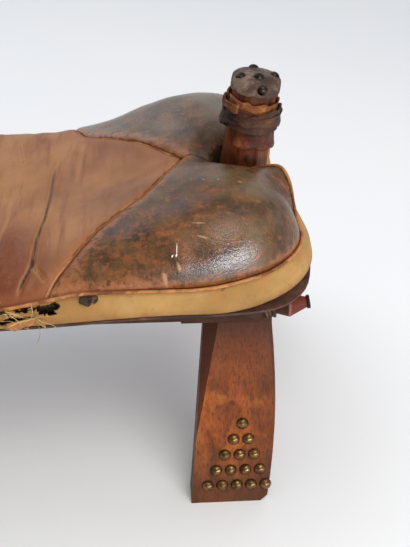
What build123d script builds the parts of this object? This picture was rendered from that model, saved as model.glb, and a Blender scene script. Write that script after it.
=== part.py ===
from build123d import *
import math
import os

# Camel saddle stool: two arched end frames of bowed planks, lapped under a leaning post,
# joined by two carved side rails, with a loose saddle-shaped leather cushion on top.
# X runs along the stool, Y from the front (minus) to the back, Z up, origin on the floor.

# Driving sizes, in millimetres; distances called margins run inwards from the cushion's ends
# or from its front and back
overrun = 20.0
cushion_length = 670.0
cushion_depth = 360.0

# Leg planks
leg_lean = 19.0
wood_fit = 0.15
leg_thick = 28.0
arch_top = 288.0
arch_radius = 110.0
arch_flat_margin = 140.0
leg_inner_foot_margin = 127.0
leg_inner_top_margin = 112.0
leg_outer_foot_margin = 41.0
leg_outer_bulge_margin = 32.5
leg_outer_top_margin = 38.0
leg_crown_width = 70.0
leg_bulge_height = 112.0
foot_flare = 2.5
foot_flare_height = 28.0
foot_round = 7.0
bend_run_count = 7
bulge_run_count = 7
wide_chamfer = 15.0
wide_chamfer_start = 78.0
narrow_chamfer = 4.0

# Posts
post_base_width = 54.0
post_swell_width = 56.0
post_swell_height = 42.0
post_top_width = 49.0
post_facet_share = 0.95
post_dome = 5.0
facet_count = 8
post_lean = 6.0
post_height = 146.0
post_margin = 65.0
tenon_width = 32.0
tenon_reach = 24.0
key_width = 10.0
key_length = 62.0

# Side rails
rail_deep = 27.0
rail_high = 25.0
rail_low_edge = 223.4
rail_front_margin = 21.0
rail_step = 2.6
rail_step_margin = 138.0
rail_shoulder_margin = 52.0
rail_round = 3.0
lashing_room = 5.0
neck_width = 16.0
neck_length = 17.5
finial_width = 26.0
finial_flare = 12.0
finial_taper = 20.0
finial_tip_width = 12.0
finial_button_width = 15.0
finial_button = 4.0
finial_tilt = 9.5
finial_drop = 4.0
finial_flat_count = 16
dowel_width = 9.0
dowel_rail_depth = 15.0

# Lashings and straps
thong_width = 4.4
thong_pitch = 5.2
thong_turns = 2.25
thong_flat_count = 4
strap_width = 17.0
strap_thick = 2.6
strap_pitch = 18.6
strap_turns = 2.25
strap_drop = 17.0
strap_facet_count = 20
nail_head = 7.0
nail_shank = 2.4
nail_length = 14.0
nail_head_thick = 1.5
nail_height = 63.0

# Tacks
tack_width = 13.6
tack_rise = 4.6
tack_shank = 2.6
tack_shank_length = 9.0
tack_pitch = 16.9
tack_row_pitch = 20.0
tack_first_row = 18.6
tack_row_count = 5
tack_offset = 1.3
tack_drift_share = 0.08
tack_flat_count = 8
cap_tack_width = 10.5
cap_tack_rise = 3.4
cap_tack_spread = 18.5

# Post caps
cap_thick = 2.2
cap_skirt = 11.0
cap_flat_count = 16

# Cushion
mouth_room = 13.0
leather = 3.0
seat_gap = 0.3
welt_high = 292.0
welt_sag = 21.0
welt_sag_reach = 115.0
crest_high = 366.0
crest_sag = 57.0
ridge_dip = 23.0
sag_start = 35.0
sag_margin = 95.0
base_high = 262.3
base_sag = 10.0
base_flat = 0.8
base_rise_start = 50.0
base_rise_margin = 133.0
base_hang_margin = 22.0
crown_margin = 100.0
end_thin = 4.0
end_high = 30.0
flank_run_count = 4
valley_run_count = 3
base_run_count = 8
corner_run_count = 9
welt_proud = 4.0
welt_width = 7.0
skirt_proud = 8.0
notch_width = 66.0
notch_mouth_round = 22.0
notch_margin = 99.0
notch_end_round = 27.0
seam_tip_margin = 134.0
seam_elbow = 108.0
seam_elbow_side = 97.0
seam_edge = 63.0
seam_bow = 14.0

# Shares of the sizes above
tack_ring_shares = (1.0, 0.93, 0.55)
tack_rise_shares = (0.0, 0.42, 1.0)
crown_station_shares = (0.0, 0.35, 0.65, 0.86, 1.0)
saddle_station_shares = (0.0, 0.22, 0.42, 0.62, 0.82)
crest_side_share = 0.64
cap_dome_high_share = 0.62
cap_dome_wide_share = 0.62
cap_dome_flat_share = 0.25
seam_bow_share = 0.5
turn_share = 0.5

os.makedirs("parts", exist_ok=True)


# Small helpers
def save(shape, name):
    """Write one sub-part under its node name."""
    export_step(shape, "parts/" + name + ".step")


def joined(shapes):
    """Several separate solids of one node."""
    return Compound(children=list(shapes))


def smooth_rise(value, start, end):
    """0 before start, 1 after end, and an easy S between them."""
    share = min(max((value - start) / (end - start), 0), 1)
    return share * share * (3 - 2 * share)


def to_back(shape):
    return mirror(shape, about=Plane.XZ)


def to_left(shape):
    return mirror(shape, about=Plane.YZ)


def block(low, high):
    """A box between two corners."""
    size = [b - a for a, b in zip(low, high)]
    middle = [(a + b) / 2 for a, b in zip(low, high)]
    return Pos(*middle) * Box(*size)


def arc_points(start, through, end, runs):
    """Even points along the arc through three points."""
    arc = ThreePointArc(start, through, end)
    return [((arc @ (step / runs)).X, (arc @ (step / runs)).Y) for step in range(runs + 1)]


def flat_faced(rings):
    """A solid with flat faces between rings of points, closed by its first and last ring."""
    faces = [make_face(Polyline(*ring, close=True)) for ring in (rings[0], rings[-1])]
    for low, high in zip(rings, rings[1:]):
        for here in range(len(low)):
            there = (here + 1) % len(low)
            faces.append(make_face(Polyline(low[here], low[there], high[there], close=True)))
            faces.append(make_face(Polyline(low[here], high[there], high[here], close=True)))
    return Solid(Shell([one.face() for one in faces]))


def turned_form(profile, flats):
    """A round piece about Z drawn with few flats, from pairs of height and radius."""
    turns = [2 * math.pi * (step + turn_share) / flats for step in range(flats)]
    rings = [
        [(radius * math.cos(turn), radius * math.sin(turn), high) for turn in turns]
        for high, radius in profile
    ]
    return flat_faced(rings)


# Places that follow the cushion's length and depth
half_length = cushion_length / 2
half_depth = cushion_depth / 2
cushion_corner = half_depth - (notch_width / 2 + notch_mouth_round + mouth_room)
leg_inner_foot = half_length - leg_inner_foot_margin
leg_inner_top = half_length - leg_inner_top_margin
leg_outer_foot = half_length - leg_outer_foot_margin
leg_outer_bulge = half_length - leg_outer_bulge_margin
leg_outer_top = half_length - leg_outer_top_margin
post_offset = half_length - post_margin
rail_step_at = half_length - rail_step_margin
rail_shoulder_at = half_length - rail_shoulder_margin
sag_end = half_length - sag_margin
crown_end = half_length - crown_margin
base_rise_end = half_length - base_rise_margin
base_hang_start = half_length - base_hang_margin
notch_start = half_length - notch_margin
seam_tip = half_length - seam_tip_margin
rail_front = half_depth - rail_front_margin
arch_flat = half_depth - arch_flat_margin

# Derived places of the end frame
lean_sin = math.sin(math.radians(leg_lean))
lean_cos = math.cos(math.radians(leg_lean))
arch_centre_high = arch_top - arch_radius
spring_high = arch_centre_high + arch_radius * lean_sin
spring_side = arch_flat + arch_radius * lean_cos
foot_side = spring_side + spring_high * lean_sin / lean_cos
leg_middle = (leg_inner_top + leg_outer_top) / 2
leg_face = Plane(
    origin=(leg_middle, -foot_side, 0),
    x_dir=(1, 0, 0),
    z_dir=(0, -lean_cos, lean_sin),
)
notch_side = rail_front - rail_deep
rail_top = rail_low_edge + rail_high
lap_middle = arch_top - leg_thick / 2
base_crown = arch_top + seat_gap + leather + 3 * seat_gap + leather
dowel_high = rail_low_edge + dowel_width / 2 + rail_round
dowel_start = notch_side - leg_thick
chamfer_climb_share = (wide_chamfer_start - foot_flare_height) / (spring_high - foot_flare_height)
leg_inner_chamfer = leg_inner_foot + (leg_inner_top - leg_inner_foot) * chamfer_climb_share


# Leg planks
def bowed_band():
    """The plank seen from the end: a leaning straight foot that bends over into the arch."""
    outer_bend = arch_radius * math.sin(math.radians((90 + leg_lean) / 2))
    outer_side = arch_flat + arch_radius * math.cos(math.radians((90 + leg_lean) / 2))
    inner_radius = arch_radius - leg_thick
    inner_bend = outer_bend * inner_radius / arch_radius
    inner_side = arch_flat + (outer_side - arch_flat) * inner_radius / arch_radius
    inner_spring_side = arch_flat + inner_radius * lean_cos
    inner_spring_high = arch_centre_high + inner_radius * lean_sin
    inner_foot = inner_spring_side + inner_spring_high * lean_sin / lean_cos
    outline = Polyline((-inner_foot, 0), (-foot_side, 0), (-spring_side, spring_high))
    outline += Polyline(*arc_points(
        (-spring_side, spring_high),
        (-outer_side, arch_centre_high + outer_bend),
        (-arch_flat, arch_top),
        bend_run_count,
    ))
    outline += Polyline(
        (-arch_flat, arch_top),
        (arch_flat, arch_top),
        (arch_flat, arch_top - leg_thick),
        (-arch_flat, arch_top - leg_thick),
    )
    outline += Polyline(*arc_points(
        (-arch_flat, arch_top - leg_thick),
        (-inner_side, arch_centre_high + inner_bend),
        (-inner_spring_side, inner_spring_high),
        bend_run_count,
    ))
    outline += Line((-inner_spring_side, inner_spring_high), (-inner_foot, 0))
    face = make_face(Plane.YZ * outline)
    return extrude(face, amount=leg_outer_bulge + overrun, both=True)


def leg_front_outline():
    """The plank seen from the front: waisted inner edge, bowed outer edge, flared foot."""
    crown_inner = leg_middle - leg_crown_width / 2
    crown_outer = leg_middle + leg_crown_width / 2
    outline = Polyline(
        (leg_outer_foot, 0),
        (leg_inner_foot - foot_flare, 0),
        (leg_inner_foot, foot_flare_height),
        (leg_inner_top, spring_high),
        (crown_inner, arch_top),
        (crown_outer, arch_top),
        (leg_outer_top, spring_high),
    )
    outline += Polyline(*arc_points(
        (leg_outer_top, spring_high),
        (leg_outer_bulge, leg_bulge_height),
        (leg_outer_foot, 0),
        bulge_run_count,
    ))
    face = make_face(outline)
    foot_corner = face.vertices().sort_by(Axis.Y)[:2].sort_by(Axis.X)[-1]
    face = Plane.XZ * chamfer(foot_corner, foot_round)
    return extrude(face, amount=foot_side + overrun, both=True)


def long_chamfer(start_edge, end_edge, start_high, size, inward):
    """A stopped chamfer that grows from nothing up one front edge of the plank."""
    sections = []
    for edge, high, wide in ((start_edge, start_high, 0), (end_edge, spring_high, size)):
        place = Plane(
            origin=(edge, high * lean_sin / lean_cos - foot_side, high),
            x_dir=(1, 0, 0),
            z_dir=(0, lean_sin, lean_cos),
        )
        corner = Polyline(
            (inward * (wide + overrun), -overrun),
            (-inward * overrun, wide + overrun),
            (-inward * overrun, -overrun),
            close=True,
        )
        sections.append(make_face(place * corner))
    return loft(sections)


def leg_blank():
    """The bowed band cut to its front outline, with a rounded outer corner at the foot."""
    outline = leg_front_outline()
    return bowed_band() & outline


def rail_seat():
    """The shallow notch that the side rail rests in, deeper where the lashing passes."""
    high = (leg_outer_bulge + overrun, -notch_side, rail_top + overrun)
    seat = block((leg_inner_foot - overrun, -rail_front - overrun, rail_low_edge), high)
    return seat + block((rail_shoulder_at, -rail_front - overrun, rail_low_edge - lashing_room), high)


def dowel_hole():
    """The blind hole for the hidden dowel that pins the rail to the plank."""
    end = notch_side + dowel_rail_depth
    start = dowel_start - overrun
    hole = Cylinder(dowel_width / 2 + wood_fit, end - start, rotation=(90, 0, 0))
    return Pos(leg_middle, -(end + start) / 2, dowel_high) * hole


def post_place(height):
    """The post's leaning axis at a height above its shoulder."""
    tilt = Rot(0, post_lean, 0)
    return Pos(post_offset, 0, arch_top) * tilt * Pos(0, 0, height)


def tenon(width, length):
    """A round rod down the post's axis from just above its shoulder."""
    return post_place(overrun / 2 - length / 2) * Cylinder(width / 2, length + overrun)


leg_shape = leg_blank()
leg_shape -= long_chamfer(leg_inner_chamfer, leg_inner_top, wide_chamfer_start, wide_chamfer, 1)
leg_shape -= long_chamfer(leg_outer_bulge, leg_outer_top, leg_bulge_height, narrow_chamfer, -1)
leg_shape -= rail_seat()
leg_shape -= dowel_hole()
leg_shape -= tenon(tenon_width + 2 * wood_fit, leg_thick + tenon_reach + overrun)


# Tacks
def tack(width, rise):
    """A domed brass head, drawn with few flats, on a short square shank that fits its hole."""
    shares = zip(tack_rise_shares, tack_ring_shares)
    head = turned_form([(rise * high, width / 2 * wide) for high, wide in shares], tack_flat_count)
    return head + shank(tack_shank, tack_shank_length)


def shank(width, length):
    return Pos(0, 0, -length / 2) * Box(width, width, length)


def tack_places():
    """Rows of one, two, three, four and five tacks that widen towards the foot."""
    places = []
    for row in range(tack_row_count):
        count = tack_row_count - row
        along = tack_first_row + row * tack_row_pitch
        centre = tack_drift_share * (along - tack_first_row) - tack_offset
        for step in range(count):
            across = centre + (step - (count - 1) / 2) * tack_pitch
            places.append(leg_face.location * Pos(across, along, 0))
    return places


shank_hole = shank(tack_shank + 2 * wood_fit, tack_shank_length + wood_fit)
tack_shape = tack(tack_width, tack_rise)
leg_tacks = joined([place * tack_shape for place in tack_places()])
for place in tack_places():
    leg_shape -= place * shank_hole

# The two planks of an end frame halve into each other at the crown
lap_low = (leg_inner_foot - overrun, -arch_flat, arch_top - leg_thick - overrun)
lap_high = (leg_outer_bulge + overrun, arch_flat + overrun, lap_middle)
leg_front = leg_shape - block(lap_low, lap_high)
upper_low = (leg_inner_foot - overrun, -arch_flat - overrun, lap_middle)
upper_high = (leg_outer_bulge + overrun, arch_flat, arch_top + overrun)
leg_back = to_back(leg_shape) - block(upper_low, upper_high)
save(leg_front, "leg_front_right")
save(leg_back, "leg_back_right")
save(to_left(leg_front), "leg_front_left")
save(to_left(leg_back), "leg_back_left")
save(leg_tacks, "tacks_front_right")
save(to_back(leg_tacks), "tacks_back_right")
save(to_left(leg_tacks), "tacks_front_left")
save(to_left(to_back(leg_tacks)), "tacks_back_left")


# Posts
def post_radius(height):
    """Half width of the turned post between its swell and its top."""
    share = (height - post_swell_height) / (post_height - post_swell_height)
    return (post_swell_width + (post_top_width - post_swell_width) * share) / 2


def post_body():
    """A hand-cut round post with worn flats, a flat shoulder and a tenon through the lap."""
    swell = post_swell_width / 2
    rings = [
        (-overrun, post_base_width / 2),
        (post_swell_height, post_swell_width / 2),
        (post_height, post_top_width / 2),
        (post_height + post_dome * cap_dome_high_share, cap_dome_wide_share * post_top_width / 2),
        (post_height + post_dome, cap_dome_flat_share * post_top_width / 2),
    ]
    corner_share = post_facet_share / math.cos(math.pi / facet_count)
    facets = [
        (-overrun, swell * corner_share),
        (post_height + overrun, post_top_width / 2 * corner_share),
    ]
    body = post_place(0) * (turned_form(rings, cap_flat_count) & turned_form(facets, facet_count))
    trim_low = (0, -post_swell_width, 0)
    trim_high = (cushion_length, post_swell_width, arch_top)
    body -= block(trim_low, trim_high)
    peg = tenon(tenon_width, leg_thick + tenon_reach)
    peg &= block(trim_low, (cushion_length, post_swell_width, arch_top + overrun))
    return body + peg


def key_rod(width, length):
    """The cross key that locks the tenon under the lap."""
    high = arch_top - leg_thick - wood_fit - key_width / 2
    side = post_offset - (arch_top - high) * math.tan(math.radians(post_lean))
    return Pos(side, 0, high) * Cylinder(width / 2, length, rotation=(90, 0, 0))


def cap_tack_places():
    """One tack in the middle of the cap and four round it in a cross."""
    dome_radius = (post_top_width**2 / 4 + post_dome**2) / (2 * post_dome)
    crown = post_height + post_dome + seat_gap + cap_thick
    centre = crown - dome_radius - cap_thick
    tilt = math.degrees(math.asin(cap_tack_spread / dome_radius))
    places = [post_place(crown)]
    for quarter in range(4):
        turn = Rot(0, 0, 90 * quarter) * Rot(0, tilt, 0)
        places.append(post_place(centre) * turn * Pos(0, 0, crown - centre))
    return places


def cap_form(grow, low):
    """The outside of the post's top, grown by an even thickness and drawn with few flats."""
    corner = 1 / math.cos(math.pi / cap_flat_count)
    rings = [
        (low, post_radius(low) + grow),
        (post_height, post_top_width / 2 + grow),
        (post_height + post_dome * cap_dome_high_share + grow, cap_dome_wide_share * post_top_width / 2),
        (post_height + post_dome + grow, cap_dome_flat_share * post_top_width / 2),
    ]
    return turned_form([(high, radius * corner) for high, radius in rings], cap_flat_count)


def cap_shell():
    """A leather cap drawn over the post's top."""
    low = post_height - cap_skirt
    shell = cap_form(seat_gap + cap_thick, low) - cap_form(seat_gap, low - overrun)
    return post_place(0) * shell


def nail_place():
    """The middle of a flat on the post's front, just under the strap."""
    low = post_swell_width / 2 * post_facet_share
    high = post_top_width / 2 * post_facet_share
    rise_share = (nail_height + overrun) / (post_height + 2 * overrun)
    slant = math.degrees(math.atan((low - high) / (post_height + 2 * overrun)))
    turn = Rot(0, 0, -90)
    out = Pos(low + (high - low) * rise_share, 0, 0)
    return post_place(nail_height) * turn * out * Rot(0, 90 - slant, 0)


post_shape = post_body() - key_rod(key_width + 2 * wood_fit, key_length)
cap_shape = cap_shell()
cap_tack = tack(cap_tack_width, cap_tack_rise)
cap_tacks = joined([place * cap_tack for place in cap_tack_places()])
for place in cap_tack_places():
    post_shape -= place * shank_hole
    cap_shape -= place * shank_hole
post_shape -= nail_place() * shank(nail_shank + 2 * wood_fit, nail_length + wood_fit)
nail_top = extrude(RegularPolygon(nail_head / 2, tack_flat_count), amount=nail_head_thick)
nail_shape = nail_place() * (nail_top + shank(nail_shank, nail_length))
key_shape = key_rod(key_width, key_length)
for side, turned in (("right", lambda shape: shape), ("left", to_left)):
    save(turned(post_shape), "post_" + side)
    save(turned(key_shape), "post_key_" + side)
    save(turned(cap_shape), "post_cap_" + side)
    save(turned(cap_tacks), "cap_tacks_" + side)
    save(turned(nail_shape), "strap_nail_" + side)


# Side rails
def rail_half():
    """Half of a side rail: a slim middle, a deeper end and a carved finial past the plank."""
    side = -(rail_front + notch_side) / 2
    bar = None
    for start, end, low in (
        (0, rail_step_at, rail_low_edge + rail_step),
        (rail_step_at, rail_shoulder_at, rail_low_edge),
    ):
        place = Plane(origin=(start, side, (low + rail_top) / 2), x_dir=(0, 1, 0), z_dir=(1, 0, 0))
        section = Rectangle(rail_deep, rail_top - low)
        section = place * chamfer(section.vertices(), rail_round)
        piece = extrude(section, amount=end - start)
        bar = piece if bar is None else bar + piece
    return bar + rail_end_place() * Rot(0, 90, 0) * finial()


def finial():
    """A neck that flares to a sharp ring, tapers again and ends in a flat button."""
    flare_end = neck_length + finial_flare
    taper_end = flare_end + finial_taper
    profile = [
        (-rail_step, neck_width / 2),
        (neck_length, neck_width / 2),
        (flare_end, finial_width / 2),
        (flare_end + rail_step / 2, finial_width / 2),
        (taper_end, finial_tip_width / 2),
        (taper_end + rail_step / 2, finial_button_width / 2),
        (taper_end + finial_button, finial_button_width / 2),
    ]
    return turned_form(profile, finial_flat_count)


def rail_end_place():
    """The tilted axis of the carved end, starting at the rail's shoulder."""
    side = -(rail_front + notch_side) / 2
    high = (rail_low_edge + rail_top) / 2 - finial_drop
    return Pos(rail_shoulder_at, side, high) * Rot(0, -finial_tilt, 0)


def dowel_shape():
    end = notch_side + dowel_rail_depth - wood_fit
    start = dowel_start
    rod = Cylinder(dowel_width / 2, end - start, rotation=(90, 0, 0))
    return Pos(leg_middle, -(end + start) / 2, dowel_high) * rod


right_half = rail_half()
rail_shape = right_half + to_left(right_half)
rail_shape -= dowel_hole()
rail_shape -= to_left(dowel_hole())
save(rail_shape, "front_rail")
save(to_back(rail_shape), "back_rail")
front_dowel = dowel_shape()
four_dowels = [front_dowel, to_left(front_dowel), to_back(front_dowel)]
four_dowels.append(to_left(to_back(front_dowel)))
save(joined(four_dowels), "rail_dowels")


# Windings
def helix_point(radius_at, pitch, turns):
    """Place and heading of a winding after some turns; radius_at gives the radius there."""
    angle = 2 * math.pi * turns
    climb = pitch * turns
    radius = radius_at(climb)
    grow = (radius_at(climb + pitch / 4) - radius) * 4 / (2 * math.pi)
    place = Vector(radius * math.cos(angle), radius * math.sin(angle), climb)
    heading = Vector(
        grow * math.cos(angle) - radius * math.sin(angle),
        grow * math.sin(angle) + radius * math.cos(angle),
        pitch / (2 * math.pi),
    )
    return place, heading.normalized()


def winding_path(radius_at, pitch, turns):
    """An unbroken winding: each quarter turn is two arcs that share a heading."""
    arcs = []
    steps = round(turns * 4)
    for step in range(steps):
        first, first_way = helix_point(radius_at, pitch, step / 4)
        last, last_way = helix_point(radius_at, pitch, (step + 1) / 4)
        gap = last - first
        ways = first_way + last_way
        spread = 2 * (1 - first_way.dot(last_way))
        reach = math.sqrt(gap.dot(ways) ** 2 + spread * gap.dot(gap))
        reach = (reach - gap.dot(ways)) / spread
        first_knee = first + first_way * reach
        last_knee = last - last_way * reach
        middle = (first_knee + last_knee) / 2
        arcs.append(TangentArc(first, middle, tangent=first_way))
        arcs.append(TangentArc(middle, last, tangent=last_knee - first_knee))
    return Wire([arc.edge() for arc in arcs])


def least_gap(path, turns, width):
    """The least gap between neighbouring turns, measured on points along the winding."""
    samples = 48
    count = round(turns * samples)
    points = [path.position_at(step / count) for step in range(count + 1)]
    least = min(
        (points[a] - points[b]).length
        for a in range(count + 1)
        for b in range(a + samples // 2, count + 1)
    )
    return least - width


def rail_neck_radius(climb):
    return neck_width / 2 + seat_gap + thong_width / 2


def lashing():
    """A rawhide thong wound tight round the rail's neck, outside the plank."""
    path = winding_path(rail_neck_radius, thong_pitch, thong_turns)
    start = Plane(origin=path @ 0, z_dir=path % 0)
    cord = sweep(start * RegularPolygon(thong_width / 2, thong_flat_count), path)
    print("lashing gap to itself", round(least_gap(path, thong_turns, thong_width), 2))
    slack = (neck_length - thong_pitch * thong_turns) / 2
    return rail_end_place() * Pos(slack, 0, 0) * Rot(0, 90, 0) * cord


right_lashing = lashing()
right_pair = [right_lashing, to_back(right_lashing)]
save(joined(right_pair + [to_left(piece) for piece in right_pair]), "rail_lashings")

strap_low = post_height - strap_drop - strap_turns * strap_pitch - strap_width / 2


def strap_radius(climb):
    slack = post_swell_width / 2 * (1 - math.cos(math.pi / strap_facet_count))
    return post_radius(strap_low + climb) + seat_gap + slack + strap_thick / 2


def post_strap():
    """A flat leather strap wound round the post under its cap, one band without a break."""
    sections = []
    spine = []
    for step in range(round(strap_turns * strap_facet_count) + 1):
        place, heading = helix_point(strap_radius, strap_pitch, step / strap_facet_count)
        outward = Vector(place.X, place.Y, 0)
        plane = Plane(origin=place, x_dir=outward, z_dir=outward.rotate(Axis.Z, 90))
        sections.append(plane * Rectangle(strap_thick, strap_width))
        spine.append(place)
    gap = least_gap(Polyline(*spine), strap_turns, strap_width)
    print("strap gap to itself", round(gap, 2))
    return post_place(strap_low) * loft(sections, ruled=True)


strap_shape = post_strap()
save(strap_shape, "post_strap_right")
save(to_left(strap_shape), "post_strap_left")


# Cushion
def cushion_half_depth(along, inset):
    """Half depth of the rounded outline at a distance from the middle."""
    corner = cushion_corner - inset
    past = abs(along) - (half_length - cushion_corner)
    if past <= 0:
        return half_depth - inset
    return half_depth - cushion_corner + math.sqrt(max(corner**2 - past**2, 0))


def welt_height(along):
    """The stitched edge drops towards the middle of the saddle."""
    return welt_high - welt_sag * (1 - smooth_rise(abs(along), 0, welt_sag_reach))


def base_edge_height(along):
    return base_high - base_sag * (1 - smooth_rise(abs(along), 0, base_rise_end))


def base_middle_height(along):
    """The underside lies flat over the rails and arches up over the end frames."""
    low = base_high - base_sag + base_flat
    arched = low + (base_crown - low) * smooth_rise(abs(along), base_rise_start, base_rise_end)
    hang = smooth_rise(abs(along), base_hang_start, half_length)
    return arched - (base_crown - base_high - base_flat) * hang


def crest_height(along):
    """The stuffed lobes stand high at the ends and roll down to the stitched edge."""
    crest = crest_high - crest_sag * (1 - smooth_rise(abs(along), sag_start, sag_end))
    past = max(abs(along) - crown_end, 0) / (half_length - crown_end)
    edge = welt_height(along) + end_high
    return edge + (crest - edge) * math.sqrt(max(1 - past**2, 0))


def station_ring(along, inset):
    """Crosswise outline of the stuffed shape: arched base, upright edge, two rolled lobes."""
    side = cushion_half_depth(along, inset)
    low = base_edge_height(along) + inset
    middle_low = base_middle_height(along) + inset
    edge = welt_height(along) - inset
    crest = max(crest_height(along) - inset, edge + end_thin)
    dip_share = (crest - edge) / (crest_high - welt_high)
    ridge = crest - ridge_dip * min(dip_share, 1)
    crest_side = side * crest_side_share
    run = side - crest_side
    rise = crest - edge
    flank = (run**2 + rise**2) / (2 * rise)
    half_angle = math.asin(min(run / flank, 1)) / 2
    flank_side = crest_side + flank * math.sin(half_angle)
    flank_high = crest - flank * (1 - math.cos(half_angle))
    valley_high = crest - (crest - ridge) / 4
    half = [(side, low)]
    half += arc_points((side, edge), (flank_side, flank_high), (crest_side, crest), flank_run_count)
    half += arc_points((crest_side, crest), (crest_side / 2, valley_high), (0, ridge), valley_run_count)[1:]
    far = [(-across, high) for across, high in reversed(half[:-1])]
    under = arc_points((-side, low), (0, middle_low), (side, low), base_run_count)[1:-1]
    return [(along, across, high) for across, high in half + far + under]


def stations(inset):
    """Distances from the middle where the crosswise outline is drawn."""
    reach = half_length - inset
    places = [crown_end * share for share in saddle_station_shares]
    places += [crown_end + (reach - crown_end) * share for share in crown_station_shares]
    return [-place for place in reversed(places[1:])] + places


def saddle_shape(inset):
    """The whole stuffed saddle shape, drawn in by an even inset."""
    return flat_faced([station_ring(along, inset) for along in stations(inset)])


def edge_line(height_at, shift):
    """A line that follows the cushion's edge from end to end, seen from the front."""
    points = [(place, height_at(place) + shift) for place in stations(0)]
    points = [(-half_length - overrun, points[0][1])] + points
    points += [(half_length + overrun, points[-1][1])]
    return Polyline(*points)


def edge_slab(low_at, low_shift, high_at, high_shift):
    """Everything between two such lines."""
    low = edge_line(low_at, low_shift)
    high = edge_line(high_at, high_shift)
    outline = low + high + Line(low @ 0, high @ 0) + Line(low @ 1, high @ 1)
    return extrude(Plane.XZ * make_face(outline), amount=cushion_depth, both=True)


def upright(sketch):
    """A plan sketch raised through the whole cushion."""
    return extrude(sketch, amount=crest_high + overrun)


def flat_sided(plan):
    """The same plan with each round drawn as a run of short flats."""
    points = []
    for side in plan.face().outer_wire().order_edges():
        runs = corner_run_count if side.geom_type == GeomType.CIRCLE else 1
        points += [side @ (step / runs) for step in range(runs)]
    return make_face(Polyline(*points, close=True))


def notched_outline():
    """Plan of the cushion: a rounded oblong with a notch in each end for the post."""
    plan = RectangleRounded(cushion_length, cushion_depth, cushion_corner)
    notch_reach = half_length - notch_start + overrun
    notch = RectangleRounded(2 * notch_reach, notch_width, notch_end_round)
    plan -= Pos(notch_start + notch_reach, 0, 0) * notch
    plan -= Pos(-notch_start - notch_reach, 0, 0) * notch
    mouth = [
        corner
        for corner in plan.vertices()
        if abs(abs(corner.X) - half_length) < welt_width and abs(corner.Y) < notch_width
    ]
    return flat_sided(fillet(mouth, notch_mouth_round))


outline_plan = notched_outline()
mouth_side = notch_width / 2 + notch_mouth_round
notch_zone = Rectangle(2 * (half_length + overrun), 2 * mouth_side)
notch_zone -= Rectangle(2 * (notch_start - overrun), 4 * mouth_side)
notch_plan = notch_zone - outline_plan


def quarter_seam(side_x, side_y):
    """One curved seam between the middle panel and an end panel."""
    tip = (side_x * seam_tip, 0)
    elbow = (side_x * seam_elbow, side_y * seam_elbow_side)
    edge = (side_x * seam_edge, side_y * half_depth)
    bow = (
        side_x * (seam_elbow + (seam_tip - seam_elbow) * seam_bow_share),
        side_y * (seam_elbow_side * seam_bow_share + seam_bow),
    )
    past = (side_x * seam_edge, side_y * (half_depth + overrun))
    lines = ThreePointArc(tip, bow, elbow)
    lines += Line(elbow, edge)
    lines += Line(edge, past)
    return lines


def middle_plan():
    """Plan of the middle panel: pointed at both ends, narrow at the front and back."""
    lines = None
    for side_x in (1, -1):
        for side_y in (1, -1):
            seam = quarter_seam(side_x, side_y)
            lines = seam if lines is None else lines + seam
    for side_y in (1, -1):
        past = side_y * (half_depth + overrun)
        lines += Line((-seam_edge, past), (seam_edge, past))
    return make_face(lines)


saddle_outer = saddle_shape(0)
saddle_inner = saddle_shape(leather)
pad_plan = offset(outline_plan, -leather - seat_gap, kind=Kind.INTERSECTION)
pad = saddle_shape(leather + seat_gap) & upright(pad_plan)


def largest(shape):
    """The one piece wanted from a cut that also leaves offcuts."""
    return shape.solids().sort_by(SortBy.VOLUME)[-1]


top_skin = largest((saddle_outer - saddle_inner) & edge_slab(welt_height, 0, welt_height, crest_high))
top_skin -= upright(notch_plan)
middle_block = upright(middle_plan())
end_block = block((0, 0, 0), (cushion_length, cushion_depth, 2 * crest_high))
save(largest(top_skin & middle_block), "top_middle_panel")
end_skin = top_skin - middle_block
for side_x, right_name in ((end_block, "right"), (to_left(end_block), "left")):
    save(largest(end_skin & to_back(side_x)), "top_front_" + right_name + "_panel")
    save(largest(end_skin & side_x), "top_back_" + right_name + "_panel")

def base_ring(along):
    """Crosswise outline of the leather underside, which stands proud as a narrow skirt."""
    inside = cushion_half_depth(along, 0)
    side = cushion_half_depth(along, -skirt_proud)
    stretch = (side / inside) ** 2
    outline = []
    for drop in (seat_gap, seat_gap + leather):
        middle = base_middle_height(along) - drop
        edge = middle - (middle - base_edge_height(along) + drop) * stretch
        points = arc_points((-side, edge), (0, middle), (side, edge), base_run_count)
        outline += points if drop == seat_gap else reversed(points)
    return [(along, across, high) for across, high in outline]


underside = flat_faced([base_ring(along) for along in stations(-skirt_proud)])
underside -= upright(notch_plan)
save(underside, "underside_panel")
save(largest(pad - Pos(0, 0, seat_gap) * underside), "cushion_pad")

# The band runs round the sides and on into both notches
ring = upright(outline_plan - offset(outline_plan, -leather, kind=Kind.INTERSECTION))
band_lift = seat_gap + 2 * leather * (base_crown - base_high) / half_depth
band_slab = edge_slab(base_edge_height, band_lift, welt_height, 0)
below_welt = edge_slab(base_edge_height, 0, welt_height, 0)
band = ring & band_slab
for turned in (lambda shape: shape, to_left):
    low = (notch_start - overrun, -mouth_side, 0)
    notch_block = turned(block(low, (cushion_length, mouth_side, crest_high)))
    hanging = ((saddle_outer & notch_block) & ring) & band_slab
    facing = ((saddle_inner & notch_block) & ring) - below_welt
    band = band - notch_block + hanging + facing
band -= Pos(0, 0, seat_gap) * underside
save(largest(band), "side_band")

# The piped welt covers the stitched joint of the top and the band
whole_plan = flat_sided(RectangleRounded(cushion_length, cushion_depth, cushion_corner))
welt = upright(offset(whole_plan, welt_proud, kind=Kind.INTERSECTION) - whole_plan)
welt &= edge_slab(welt_height, -welt_width / 2, welt_height, welt_width / 2)
welt -= upright(notch_zone)
save(welt, "edge_welt")
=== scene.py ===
import math
import random

import bpy
import numpy as np
from mathutils import Matrix, Vector, noise
from mathutils.bvhtree import BVHTree


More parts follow.
